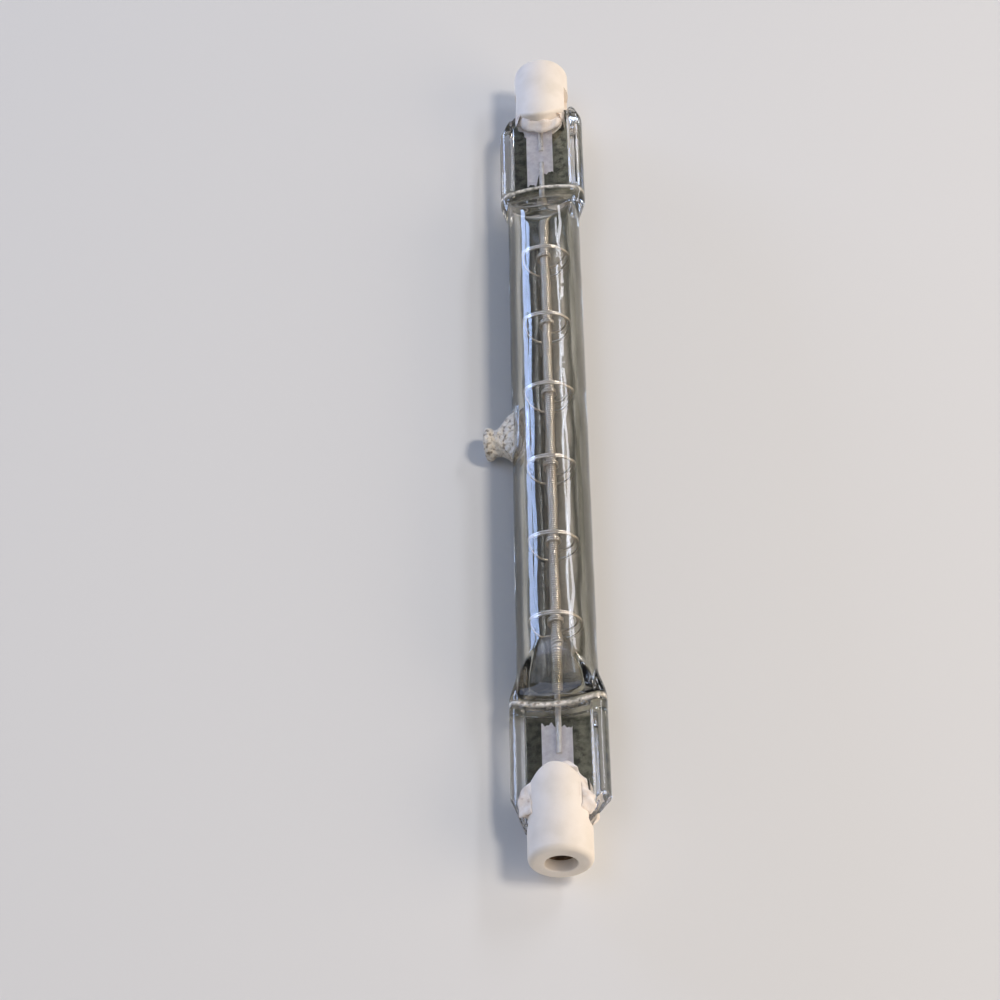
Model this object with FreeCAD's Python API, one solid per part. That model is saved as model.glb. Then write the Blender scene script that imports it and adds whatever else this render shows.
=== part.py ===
import FreeCAD
import Part
import math
import os

# Linear halogen bulb, double ended, millimetres.
# The lamp axis is X. Every piece is drawn about the middle of the glass, with the flat pinch seals in
# the XY plane and the exhaust tip towards -Y. The whole lamp is then moved along X until the origin is
# its centre of volume, and rolled about X until the tube and the exhaust tip lie on one level surface,
# with +Z up. The near end is at +X and the far end at -X.

# Driving dimensions
OVERALL_LENGTH = 117.6       # over both ceramic caps
TUBE_DIAMETER = 9.0          # quartz tube, outside
TUBE_WALL = 1.4
SHOULDER_LENGTH = 6.7        # round tube closing to the flat pinch
PRESS_LIFT = 0.04            # press jaws above the tube where the shoulder starts
PINCH_LENGTH = 14.6
WEB_THICKNESS = 2.1          # pinch between its side rails
RAIL_WIDTH = 1.6
RAIL_RISE = 0.45             # rail above the web, on each face
RAIL_EDGE_RADIUS = 1.1
PINCH_CORNER_RADIUS = 1.4    # outer corners, seen square to the pinch
RIDGE_WIDTH = 0.8            # unpressed lip between shoulder and web
GROOVE_CORNER_RADIUS = 0.8
SLIT_CLEARANCE = 0.1         # flattened end of the cavity round the coil

TIP_POSITION = 0.75          # along X
TIP_HEIGHT = 3.3             # above the tube
TIP_BASE_DIAMETER = 6.2
TIP_NECK_DIAMETER = 3.4
TIP_BEAD_DIAMETER = 4.2
TIP_BEAD_THICKNESS = 1.3
TIP_EDGE_BEVEL = 0.4
FUNNEL_MOUTH_DIAMETER = 2.6  # hollow inside the exhaust tip
FUNNEL_END_DIAMETER = 0.6
FUNNEL_END_COVER = 0.5       # glass left between the funnel and the outer face of the bead

CAP_DIAMETER = 7.0
CAP_LENGTH = 10.5
CAP_OVERLAP = 4.5            # cap over pinch, mean of the two ends
CAP_SHIFT = 1.65             # middle between the caps, towards -X from the middle of the glass
CAP_OFFSET = 0.2             # cap axis to lamp axis, towards -Y at the near end and +Y at the far end
CAP_RAIL_GAP = 0.1           # cap to the rail that it leans to
CAP_END_RADIUS = 0.7
CAP_INNER_CHAMFER = 0.3
RECESS_DIAMETER = 3.5
RECESS_DEPTH = 1.7           # cap end to contact face
CEMENT_GAP = 0.35            # slot in the cap round the web
CEMENT_FILLET = 1.0          # squeezed out along the web and up the cap
CEMENT_RAIL_COVER = 0.6      # squeezed out over the rails
CEMENT_SETBACK = 0.6         # side fillets, from each end of the overlap

CONTACT_DIAMETER = 3.0
CONTACT_THICKNESS = 0.5
CONTACT_CLEARANCE = 0.05     # disc in its pocket below the recess
LEAD_HOLE_CLEARANCE = 0.1    # on the side that the cap leans from

LEAD_DIAMETER = 0.65
WELD_DEPTH = 0.1             # flat where a lead lies on its foil
WELD_LENGTH = 2.4            # inner lead on the foil
LEAD_SPACING = 2.1           # between the two leads on one foil
LEAD_GRIP = 3.0              # inner lead inside the coil
FOIL_WIDTH = 3.5
FOIL_THICKNESS = 0.03
FOIL_INNER_MARGIN = 3.5      # pinch end to foil end
FOIL_OUTER_MARGIN = 2.8
FOIL_TONGUE_WIDTH = 0.8      # torn strip on the inner end of the foil
FOIL_TONGUE_LENGTH = 1.3

COIL_WIRE = 0.28
COIL_END_GAP = 0.4           # coil to the closed end of the cavity

SUPPORT_COUNT = 6
SUPPORT_MARGIN = 4.2         # end of the round tube to the row of supports, mean of the two ends
SUPPORT_SHIFT = 0.25         # middle of the row of supports, along X
SUPPORT_WIRE = 0.28
SUPPORT_CLEARANCE = 0.12     # ring to the bore of the tube
GRIP_CLEARANCE = 0.03        # first turns to the coil
GRIP_TURNS = 1.5             # round the coil
OPENING_TURNS = 0.75         # from the coil out to the ring
RING_TURNS = 1.1
SUPPORT_LEAD = 0.3           # advance along X in one turn
STEPS_PER_TURN = 14
WIRE_SIDES = 6

# Derived sizes
tube_radius = TUBE_DIAMETER / 2
bore_radius = tube_radius - TUBE_WALL
cap_radius = CAP_DIAMETER / 2
lead_radius = LEAD_DIAMETER / 2
coil_radius = lead_radius + COIL_WIRE
groove_half_width = cap_radius + CAP_OFFSET + CAP_RAIL_GAP
pinch_half_width = groove_half_width + RAIL_WIDTH
web_half = WEB_THICKNESS / 2
rail_half = web_half + RAIL_RISE
slot_half = web_half + CEMENT_GAP
slit_half = coil_radius + SLIT_CLEARANCE

# Stations along X, at the near end of a lamp with its caps about the middle of the glass
cap_outer = OVERALL_LENGTH / 2
cap_inner = cap_outer - CAP_LENGTH
pinch_outer = cap_inner + CAP_OVERLAP
pinch_inner = pinch_outer - PINCH_LENGTH
tube_end = pinch_inner - SHOULDER_LENGTH
slot_end = pinch_outer + CAP_SHIFT + CEMENT_GAP
contact_face = cap_outer - RECESS_DEPTH
contact_back = contact_face - CONTACT_THICKNESS
foil_inner = pinch_inner + FOIL_INNER_MARGIN
foil_outer = pinch_outer - FOIL_OUTER_MARGIN
inner_lead_end = foil_inner + WELD_LENGTH
outer_lead_start = inner_lead_end + LEAD_SPACING
cavity_end = pinch_inner - TUBE_WALL
coil_end = cavity_end - COIL_END_GAP
foil_top = WELD_DEPTH - lead_radius
support_first = SUPPORT_SHIFT - (tube_end - SUPPORT_MARGIN)
support_pitch = 2 * (tube_end - SUPPORT_MARGIN) / (SUPPORT_COUNT - 1)

# Exhaust tip, distances from the lamp axis
tip_reach = tube_radius + TIP_HEIGHT
bevel_reach = tip_reach - TIP_EDGE_BEVEL
bead_radius = TIP_BEAD_DIAMETER / 2

V = FreeCAD.Vector
AXIS = V(1, 0, 0)
UP = V(0, 0, 1)


def rod(start, end, radius):
    """Round rod on the lamp axis between two stations."""
    return Part.makeCylinder(radius, end - start, V(start, 0, 0), AXIS)


def block(start, end, half_width, bottom, top):
    """Box between two stations, centred on the axis across its width."""
    return Part.makeBox(end - start, 2 * half_width, top - bottom, V(start, -half_width, bottom))


def prism(corners, length):
    """Straight bar of a polygon section, drawn out along the vector length."""
    return Part.Face(Part.makePolygon(corners + corners[:1])).extrude(length)


def far_copy(shape):
    """The same piece at the far end: half a turn about the vertical."""
    copy = shape.copy()
    copy.rotate(V(0, 0, 0), UP, 180)
    return copy


def circle_edges_at(solid, x):
    """Circular edges of a turned solid that lie in the plane across the axis at x."""
    flat = [e for e in solid.Edges if isinstance(e.Curve, Part.Circle)]
    return [e for e in flat if abs(e.BoundBox.XMin - x) < 1e-6 and abs(e.BoundBox.XMax - x) < 1e-6]


def press_curve(start, end):
    """Two equal arcs in the XZ plane from point to point, level at both ends."""
    step = end - start
    radius = (step.x ** 2 + step.z ** 2) / (4 * abs(step.z))
    half_sweep = math.atan2(abs(step.z), abs(step.x))
    bend = V(math.copysign(radius * math.sin(half_sweep), step.x), 0,
             math.copysign(radius * (1 - math.cos(half_sweep)), step.z))
    middle = (start + end) * 0.5
    return [Part.Arc(start, start + bend, middle), Part.Arc(middle, end - bend, end)]


def pressed_rod(reach, radius, end_half):
    """Round rod about the axis, pressed to a flat at both ends between curved jaws."""
    bend = reach - SHOULDER_LENGTH
    top = radius + PRESS_LIFT
    corners = [V(-bend, -radius, top), V(bend, -radius, top),
               V(reach, -radius, end_half), V(reach, -radius, -end_half),
               V(bend, -radius, -top), V(-bend, -radius, -top),
               V(-reach, -radius, -end_half), V(-reach, -radius, end_half)]
    outline = []
    for index, start in enumerate(corners):
        end = corners[(index + 1) % len(corners)]
        curved = start.x != end.x and start.z != end.z
        outline += press_curve(start, end) if curved else [Part.LineSegment(start, end)]
    face = Part.Face(Part.Wire([piece.toShape() for piece in outline]))
    return rod(-reach, reach, radius).common(face.extrude(V(0, 2 * radius, 0)))


# Quartz envelope

def pinch_punch():
    """One press jaw: the solid that leaves the web between the rails, on the upper face."""
    jaw = block(pinch_inner + RIDGE_WIDTH, pinch_outer + RAIL_WIDTH, groove_half_width,
                web_half, rail_half + RAIL_RISE)
    inner_x = pinch_inner + RIDGE_WIDTH
    upright = [e for e in jaw.Edges if e.BoundBox.XMax < inner_x + 1e-6 and e.BoundBox.ZLength > 1e-6]
    return jaw.makeFillet(GROOVE_CORNER_RADIUS, upright)


def pinch_bar():
    """Flat pinch at the near end: tapered out of the tube, with side rails and a thinner web."""
    bar = block(tube_end, pinch_outer, pinch_half_width, -rail_half, rail_half)
    lengthwise = [e for e in bar.Edges if e.BoundBox.XLength > 1e-6]
    bar = bar.makeFillet(RAIL_EDGE_RADIUS, lengthwise)
    root = tube_radius - TUBE_WALL / 2
    half_plan = [(tube_end, root), (pinch_inner, pinch_half_width), (pinch_outer, pinch_half_width)]
    plan = prism([V(x, y, -rail_half) for x, y in half_plan]
                 + [V(x, -y, -rail_half) for x, y in reversed(half_plan)], V(0, 0, 2 * rail_half))
    corners = [e for e in plan.Edges if e.BoundBox.XMin > pinch_outer - 1e-6 and e.BoundBox.YLength < 1e-6]
    bar = bar.common(plan.makeFillet(PINCH_CORNER_RADIUS, corners))
    upper = pinch_punch()
    lower = upper.mirror(V(0, 0, 0), UP)
    return bar.cut([upper, lower])


def exhaust_tip():
    """Sealed-off exhaust tip: a cone off the tube, a neck and a flat-ended bead, turned about -Y."""
    base = TIP_BASE_DIAMETER / 2
    neck = TIP_NECK_DIAMETER / 2
    root = math.sqrt(tube_radius ** 2 - base ** 2)
    bead_start = tip_reach - TIP_BEAD_THICKNESS
    neck_end = bead_start - (bead_radius - neck)

    def at(radius, reach):
        return V(TIP_POSITION + radius, -reach, 0)

    corners = [at(0, root), at(base, root), at(neck, neck_end), at(bead_radius, bead_start),
               at(bead_radius, bevel_reach), at(bead_radius - TIP_EDGE_BEVEL, tip_reach), at(0, tip_reach)]
    face = Part.Face(Part.makePolygon(corners + corners[:1]))
    return face.revolve(V(TIP_POSITION, 0, 0), V(0, 1, 0), 360)


def funnel():
    """Hollow that runs from the bore into the exhaust tip."""
    start = math.sqrt(bore_radius ** 2 - (FUNNEL_MOUTH_DIAMETER / 2) ** 2)
    end = bevel_reach - FUNNEL_END_COVER
    return Part.makeCone(FUNNEL_MOUTH_DIAMETER / 2, FUNNEL_END_DIAMETER / 2, end - start,
                         V(TIP_POSITION, -start, 0), V(0, -1, 0))


def envelope(sealed_in):
    """Quartz tube pressed flat at both ends, hollow, and closed round the pieces sealed in it."""
    pinch = pinch_bar()
    outside = pressed_rod(pinch_inner, tube_radius, rail_half - PRESS_LIFT)
    outside = outside.fuse([pinch, far_copy(pinch), exhaust_tip()])
    cavity = pressed_rod(cavity_end, bore_radius, slit_half).fuse(funnel())
    return outside.removeSplitter().cut(cavity.removeSplitter()).cut(sealed_in)


# Foils, leads, coil and supports

def seal_foil(tongue_side):
    """Thin foil in the pinch, with a torn strip at its inner end on one side."""
    bottom = foil_top - FOIL_THICKNESS
    sheet = block(foil_inner, foil_outer, FOIL_WIDTH / 2, bottom, foil_top)
    side = FOIL_WIDTH / 2 - FOIL_TONGUE_WIDTH / 2
    tongue = block(foil_inner - FOIL_TONGUE_LENGTH, foil_inner, FOIL_TONGUE_WIDTH / 2, bottom, foil_top)
    tongue.translate(V(0, tongue_side * side, 0))
    return sheet.fuse(tongue).removeSplitter()


def flattened(lead, start, end):
    """Lead with the flat where it is welded to the top of the foil, between two stations."""
    return lead.cut(block(start, end, LEAD_DIAMETER, -LEAD_DIAMETER, foil_top))


def inner_lead():
    return flattened(rod(coil_end - LEAD_GRIP, inner_lead_end, lead_radius),
                     foil_inner - FOIL_TONGUE_LENGTH, inner_lead_end)


def outer_lead(inset):
    """Lead from the foil to the contact of a cap that sits further over the pinch by the inset."""
    return flattened(rod(outer_lead_start, contact_back - inset, lead_radius), outer_lead_start, foil_outer)


def filament_coil():
    """Close-wound coil as the sleeve that its turns fill."""
    return rod(-coil_end, coil_end, coil_radius).cut(rod(-coil_end, coil_end, lead_radius))


def support(x):
    """Wire that grips the coil, opens in a spiral and ends in a ring inside the bore."""
    wire_radius = SUPPORT_WIRE / 2
    grip = coil_radius + GRIP_CLEARANCE + wire_radius
    ring = bore_radius - SUPPORT_CLEARANCE - wire_radius
    turns = GRIP_TURNS + OPENING_TURNS + RING_TURNS

    def at(turn):
        share = min(max((turn - GRIP_TURNS) / OPENING_TURNS, 0), 1)
        radius = grip + (ring - grip) * share * share * (3 - 2 * share)
        angle = 2 * math.pi * turn
        along = x + SUPPORT_LEAD * (turn - turns / 2)
        return V(along, radius * math.cos(angle), radius * math.sin(angle))

    steps = round(turns * STEPS_PER_TURN)
    half_step = turns / steps / 2
    sections = []
    for step in range(steps + 1):
        turn = turns * step / steps
        heading = (at(turn + half_step) - at(turn - half_step)).normalize()
        outward = heading.cross(AXIS).normalize()
        sideways = outward.cross(heading)
        corners = []
        for corner in range(WIRE_SIDES):
            angle = 2 * math.pi * corner / WIRE_SIDES
            spoke = outward * math.cos(angle) + sideways * math.sin(angle)
            corners.append(at(turn) + spoke * wire_radius)
        sections.append(Part.makePolygon(corners + corners[:1]))
    return Part.makeLoft(sections, True, True)


# Caps, contacts and cement

def on_cap_axis(shape):
    """Piece drawn on the lamp axis, moved over to the axis of the near cap."""
    shape.translate(V(0, -CAP_OFFSET, 0))
    return shape


def ceramic_cap():
    """Round ceramic cap: end recess, pocket for the contact, hole for the lead, slot over the pinch."""
    cap = rod(cap_inner, cap_outer, cap_radius)
    cap = cap.makeFillet(CAP_END_RADIUS, circle_edges_at(cap, cap_outer))
    cap = cap.makeChamfer(CAP_INNER_CHAMFER, circle_edges_at(cap, cap_inner))
    recess = rod(contact_face, cap_outer, RECESS_DIAMETER / 2)
    pocket = rod(contact_back, contact_face, CONTACT_DIAMETER / 2 + CONTACT_CLEARANCE)
    hole = rod(cap_inner, contact_back, lead_radius + CAP_OFFSET + LEAD_HOLE_CLEARANCE)
    slot = block(cap_inner, slot_end, cap_radius, -slot_half, slot_half)
    return on_cap_axis(cap.cut([recess, pocket, hole, slot]))


def contact():
    """Contact disc, flush with the floor of the recess, at the end of the outer lead."""
    return on_cap_axis(rod(contact_back, contact_face, CONTACT_DIAMETER / 2))


def cement(cap, lead, inset):
    """Cement in the slot round the web, squeezed out in fillets at the cap's end and sides."""
    filling = block(cap_inner, slot_end, cap_radius, -slot_half, slot_half)
    filling = filling.common(rod(cap_inner, slot_end, cap_radius))
    top = web_half + CEMENT_FILLET
    end_half_width = math.sqrt((cap_radius - CAP_INNER_CHAMFER) ** 2 - top ** 2)
    end_fillet = prism([V(cap_inner - CEMENT_FILLET, -end_half_width, web_half),
                        V(cap_inner, -end_half_width, web_half),
                        V(cap_inner, -end_half_width, top)], V(0, 2 * end_half_width, 0))
    start = cap_inner + CEMENT_SETBACK
    inside = cap_radius - CEMENT_FILLET
    over_rail = groove_half_width + CEMENT_RAIL_COVER
    crest = rail_half + CEMENT_FILLET
    side_fillet = prism([V(start, inside, web_half), V(start, over_rail, web_half),
                         V(start, over_rail, rail_half), V(start, inside, crest)],
                        V(CAP_OVERLAP + inset - 2 * CEMENT_SETBACK, 0, 0))
    fillets = [end_fillet, side_fillet, side_fillet.mirror(V(0, 0, 0), V(0, 1, 0))]
    fillets += [fillet.mirror(V(0, 0, 0), UP) for fillet in fillets]
    paste = on_cap_axis(filling.fuse(fillets)).translated(V(-inset, 0, 0))
    return paste.cut([cap, pinch_bar(), lead])


def rest_roll():
    """Angle about X that brings the exhaust bead down to the level that the tube lies on."""
    drop = math.asin(tube_radius / math.hypot(bevel_reach, bead_radius))
    return math.degrees(drop - math.atan2(bead_radius, bevel_reach))


def lamp():
    """Every piece by name, in the frame that it is drawn in."""
    pieces = {"filament_coil": filament_coil()}
    for number in range(SUPPORT_COUNT):
        pieces["support_%d" % (number + 1)] = support(support_first + support_pitch * number)
    for end, inset, tongue_side in (("near", CAP_SHIFT, -1), ("far", -CAP_SHIFT, 1)):
        inward = V(-inset, 0, 0)
        cap = ceramic_cap().translated(inward)
        lead = outer_lead(inset)
        end_pieces = {
            "seal_foil": seal_foil(tongue_side),
            "inner_lead": inner_lead(),
            "outer_lead": lead,
            "ceramic_cap": cap,
            "contact": contact().translated(inward),
            "cement": cement(cap, lead, inset),
        }
        for name, shape in end_pieces.items():
            pieces[name + "_" + end] = shape if end == "near" else far_copy(shape)
    sealed_names = ("seal_foil", "inner_lead", "outer_lead")
    sealed_in = [shape for name, shape in pieces.items() if name.startswith(sealed_names)]
    pieces["quartz_envelope"] = envelope(sealed_in)
    return pieces


def centre_of_volume(shapes):
    """Place along X where the lamp balances, taken by volume."""
    solids = [solid for shape in shapes for solid in shape.Solids]
    return sum(s.Volume * s.CenterOfMass.x for s in solids) / sum(s.Volume for s in solids)


os.makedirs("parts", exist_ok=True)
pieces = lamp()
to_origin = V(-centre_of_volume(pieces.values()), 0, 0)
roll = rest_roll()
for name, shape in pieces.items():
    shape.translate(to_origin)
    shape.rotate(V(0, 0, 0), AXIS, roll)
    shape.exportStep("parts/%s.step" % name)
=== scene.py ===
import math

import bmesh
import bpy
import numpy as np
from mathutils import Matrix, Vector


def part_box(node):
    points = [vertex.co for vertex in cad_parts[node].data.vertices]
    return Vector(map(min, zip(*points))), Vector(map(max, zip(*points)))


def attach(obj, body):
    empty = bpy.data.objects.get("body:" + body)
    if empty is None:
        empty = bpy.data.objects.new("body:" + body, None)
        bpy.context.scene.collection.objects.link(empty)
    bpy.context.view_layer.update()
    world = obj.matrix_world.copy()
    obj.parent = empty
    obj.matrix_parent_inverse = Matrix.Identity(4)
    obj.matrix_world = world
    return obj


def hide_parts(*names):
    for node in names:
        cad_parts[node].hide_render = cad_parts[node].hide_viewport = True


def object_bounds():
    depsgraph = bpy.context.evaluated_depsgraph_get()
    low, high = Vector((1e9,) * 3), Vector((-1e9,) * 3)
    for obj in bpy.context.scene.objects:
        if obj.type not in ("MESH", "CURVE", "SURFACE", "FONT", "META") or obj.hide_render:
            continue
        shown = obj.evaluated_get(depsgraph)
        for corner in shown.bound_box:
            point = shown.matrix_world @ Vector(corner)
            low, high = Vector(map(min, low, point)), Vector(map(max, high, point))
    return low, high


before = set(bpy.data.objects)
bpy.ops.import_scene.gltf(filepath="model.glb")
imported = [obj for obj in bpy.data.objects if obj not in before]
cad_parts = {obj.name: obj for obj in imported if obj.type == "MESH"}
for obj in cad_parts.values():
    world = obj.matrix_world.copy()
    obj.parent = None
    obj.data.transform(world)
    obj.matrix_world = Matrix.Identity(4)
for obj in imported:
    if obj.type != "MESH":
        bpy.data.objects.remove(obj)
cad_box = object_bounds()

# Linear halogen bulb. Sizes are in millimetres, in the lamp's own frame: X along the lamp, the origin in
# the middle of the glass, the flat pinch seals in the XY plane and the exhaust tip towards -Y. TO_FRAME
# rolls that frame about X to where the lamp lies, moves it along X and turns it into metres.
MM = 0.001
GLASS_MIDDLE = sum(corner[0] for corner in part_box("quartz_envelope")) / 2

TUBE_RADIUS = 4.5
BORE_RADIUS = 3.1
TUBE_END = 31.5              # round tube ends, shoulder begins
SHOULDER_LENGTH = 6.7
PINCH_INNER = TUBE_END + SHOULDER_LENGTH
PINCH_OUTER = 52.8
PINCH_HALF_WIDTH = 5.4
FLARE_START = 33.4           # tube widens to the pinch
FLARE_LENGTH = 4.0
RAIL_HALF = 1.5
RAIL_EDGE = 1.5              # rounded side of a rail, seen from the end
RAIL_POWER = 2.4             # squareness of that side
WEB_HALF = 1.05
GROOVE_HALF_WIDTH = 3.8
GROOVE_CORNER = 0.8
GROOVE_STEP = 0.35           # width of the wall between web and rail
RIDGE_WIDTH = 0.8
RIDGE_LIFT = 0.18
RIDGE_BOW = 0.95             # ridge at the sides, nearer the lamp's middle than on the axis
PRESS_LIFT = 0.04
CREASE = 0.3                 # rounding where the press jaws meet the tube, and along the pinch
PRESS_BLEND = 2.0            # length over which the round tube turns into the pressed section
LEAST_HALF = 0.05            # half thickness left at the very end, so that the skin doesn't cross itself
END_ROUNDING = 0.5
CORNER_REACH = 8.0           # length of pinch that a pulled corner is drawn from
# How far each outer corner of the glass is drawn in, and the place across the pinch where that starts
CORNER_PULL = {
    ("near", -1): (3.2, 3.9),
    ("near", 1): (2.9, 1.8),
    ("far", -1): (3.2, 2.9),
    ("far", 1): (1.3, 4.3),
}
CAVITY_END = 36.8
CAVITY_TAPER = 1.3           # last stretch of the cavity, narrowing across the pinch
CAVITY_ROUNDING = 0.4
CAVITY_CREASE = 0.15
SLIT_HALF = 0.71
ENVELOPE_SIDES = 208
CAVITY_SIDES = 128

# Unevenness of the drawn tube
LONG_SWELL = 0.012
SHORT_SWELL = 0.008
BROAD_RIPPLE = 0.028
FINE_RIPPLE = 0.004
BORE_SWELL = 0.025
WAVE_FADE_START = TUBE_END - 2.5
WAVE_FADE_LENGTH = 6.0
BORE_FADE_START = 28.0
BORE_FADE_LENGTH = 5.0

TIP_POSITION = 0.75
TIP_REACH = 7.8              # lamp axis to the end of the tip
TIP_BEVEL_REACH = 7.4
TIP_BEAD_RADIUS = 2.1
TIP_BEAD_EDGE = 0.55         # rounding of the bead
TIP_NECK_RADIUS = 1.7
TIP_NECK_REACH = 6.55
TIP_FLARE = 2.1              # length of the flare, from the tube to the neck
TIP_FLARE_ALONG = 1.95       # flare beyond the neck at the tube, along the lamp
TIP_FLARE_ROUND = 0.65       # the same, round the tube
TIP_FLARE_POWER = 1.6
TIP_LEAN = 0.5               # foot of the flare, towards -X
TIP_WRINKLE = 0.05           # unevenness of its outside, as a share of its radius
TIP_ROOT = 1.1               # start of the flare, below the tube's outside
TIP_DIMPLE = ((0.03, 1.1), (0.12, 0.6), (0.16, 0.15))     # depth and radius, from the rim to the middle
FUNNEL_ROOT = 0.6            # start of the tip's hollow, below the bore's wall
FUNNEL_LENGTH = 4.3
FUNNEL_END_RADIUS = 0.12
FUNNEL_MOUTH = 1.3           # radius that the hollow gains towards the bore
FUNNEL_POWER = 1.5
FUNNEL_LEAN = 0.2

CAP_RADIUS = 3.5
CAP_OFFSET = 0.2             # cap axis to lamp axis
CAP_SHIFT = 1.65             # middle between the caps, towards -X
CAP_INNER = 48.3
CAP_OUTER = 58.8
CAP_END_RADIUS = 0.7
CAP_INNER_RADIUS = 0.35
RECESS_RADIUS = 1.75
RECESS_EDGE = 0.15
RECESS_SHADE_DEPTH = 0.35          # recess wall with painted shade, from the contact outwards
RECESS_SHADE_MARGIN = 0.02         # allowance when picking the recess's faces by their radius
LIP_BOW = 2.6                # lips over the pinch, shorter at their sides than on the cap's axis
CONTACT_FACE = 57.1
CONTACT_BACK = 56.6
CONTACT_RADIUS = 1.5
CONTACT_EDGE = 0.12
CONTACT_PINHOLE = 0.02       # radius that the lathe leaves open on the axis
CONTACT_DOME = ((0.0, 1.1), (0.08, 0.8), (0.1, CONTACT_PINHOLE))     # rise and radius of its raised middle
POCKET_RADIUS = 1.55
HOLE_RADIUS = 0.625
SLOT_START = CAP_INNER - 1   # cutter for the slot, well clear of the cap's end and sides
SLOT_END = 54.8
SLOT_HALF = 1.4
SLOT_REACH = 5.0

CEMENT_VOXEL = 0.12
CEMENT_ROUNDS = (18, 14)     # rounds of smoothing before and after the lumps are raised
CEMENT_LUMP = 0.2
CEMENT_SWELL = {"near": 0.0, "far": 0.3}
CEMENT_LOW = 3.2             # radius beyond which the lumps are lowered
CEMENT_PROUD = {"near": 0.95, "far": 0.1}    # share of their height that is kept there
CEMENT_REACH = {-1: 5.0, 1: 3.6}             # how far past the lips they stand, on the -Y and +Y sides
CEMENT_SLOPE = 1.5           # length over which they rise and fall
CEMENT_BOW_ALONG = (-1.0, 6.0)               # from the lips outwards, start and length of the fading bow
CEMENT_BOW_ACROSS = (CAP_RADIUS - 0.2, 0.5)

COIL_END = 36.4
COIL_RADIUS = 0.605
COIL_WIRE = 0.28
COIL_PITCH = 0.3
COIL_STEPS = 16              # points of the path on each turn
COIL_SIDES = 8
SUPPORT_COUNT = 6
SUPPORT_FIRST = -27.05
SUPPORT_PITCH = 10.92
SUPPORT_WIRE = 0.28
GRIP_RADIUS = 0.775          # middle of the wire, round the coil
RING_RADIUS = 2.84           # middle of the wire, inside the bore
GRIP_TURNS = 1.5
OPENING_TURNS = 0.75
RING_TURNS = 1.1
SUPPORT_TURNS = GRIP_TURNS + OPENING_TURNS + RING_TURNS
SUPPORT_LEAD = 0.3
SUPPORT_STEPS = 120          # points of the whole path
SUPPORT_SIDES = 10
HEADING_STEP = 0.002         # part of a turn over which a support's direction is taken

FOIL_TOP = -0.225
FOIL_THICKNESS = 0.03
FOIL_HALF_WIDTH = 1.7
FOIL_SHIFT = -0.2
FOIL_OUTER = 50.0
FOIL_INNER = {"near": 40.8, "far": 42.2}
FOIL_TONGUE = {"near": 0.5, "far": 1.9}
FOIL_TEAR = 0.18             # unevenness of the torn edge
FOIL_FINE_TEAR = 0.1
FOIL_BUCKLE = 0.06
FOIL_FLAT_HALF = 0.4         # strip under the leads, which stays flat

# Limits of the glass's painted shade, and of its milky haze and painted highlight
LOW_SIDE = (2.6, 3.4)        # across the tube, where the lower half turns to its side wall
HIGH_SIDE = (3.0, 3.5)       # the same in the upper half
RAIL_SIDE = (3.9, 4.3)       # across the pinch, from the dark web to the clear rail
MID_LEVEL = (-0.7, 0.7)      # height, from the lower half to the upper
RIDGE_HIGHLIGHT = (0.1, 0.45)     # along the lamp, from the line of the ridge
TIP_HAZE_AND_HIGHLIGHT = (2.6, 3.6)        # along the lamp, from the axis of the tip
TIP_HAZE_AND_HIGHLIGHT_ROOT = (-4.0, -3.2)     # Y, from the tip into the tube's wall

# The photograph's camera, in the lamp's own frame
CAMERA_PLACE = Vector((173.65, 31.67, 217.53))
CAMERA_AIM = Vector((9.11, -6.12, 0.0))
CAMERA_UP = Vector((-1.0, 0.0115, 0.0))
CAMERA_LENS = 85.17
CAMERA_SENSOR = 36.0
CAMERA_CLIP = 0.01           # metres
FLOOR_HALF = 3.0             # metres

# Roll about X that lays the tube and the exhaust tip on one level surface
ROLL = (math.asin(TUBE_RADIUS / math.hypot(TIP_BEVEL_REACH, TIP_BEAD_RADIUS))
        - math.atan2(TIP_BEAD_RADIUS, TIP_BEVEL_REACH))
AS_LAID = Matrix.Translation((GLASS_MIDDLE, 0, 0)) @ Matrix.Rotation(ROLL, 4, "X")
TO_FRAME = AS_LAID @ Matrix.Scale(MM, 4)
TO_LAMP = TO_FRAME.inverted()


# Small helpers

def ease(t):
    t = np.clip(t, 0.0, 1.0)
    return t * t * (3 - 2 * t)


def fade(x, start, length):
    """1 before the start, falling to 0 over the length."""
    return 1 - ease((x - start) / length)


def smooth_min(a, b, k):
    h = np.clip(0.5 + 0.5 * (b - a) / k, 0.0, 1.0)
    return b * (1 - h) + a * h - k * h * (1 - h)


def smooth_max(a, b, k):
    return -smooth_min(-a, -b, k)


def mesh_object(name, points, faces):
    """New object from points in the lamp's own frame, in millimetres."""
    mesh = bpy.data.meshes.new(name)
    mesh.from_pydata([tuple(p) for p in points], [], faces)
    mesh.transform(TO_FRAME)
    mesh.validate()
    mesh.update()
    made = bpy.data.objects.new(name, mesh)
    bpy.context.scene.collection.objects.link(made)
    return made


def ring_skin(rings, closed_ends):
    """Points and quads of a skin through rings of equal length, with flat ends of quads if asked."""
    count, size = rings.shape[:2]
    points = rings.reshape(-1, 3)
    faces = []
    for i in range(count - 1):
        for j in range(size):
            k = (j + 1) % size
            faces.append((i * size + j, i * size + k, (i + 1) * size + k, (i + 1) * size + j))
    if closed_ends:
        half = size // 2
        last = (count - 1) * size
        for j in range(half):
            a, b = j, j + 1
            c, d = (size - j - 1) % size, (size - j) % size
            quad = list(dict.fromkeys((a, b, c, d)))
            faces.append(tuple(reversed(quad)))
            faces.append(tuple(last + q for q in quad))
    return points, faces


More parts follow.
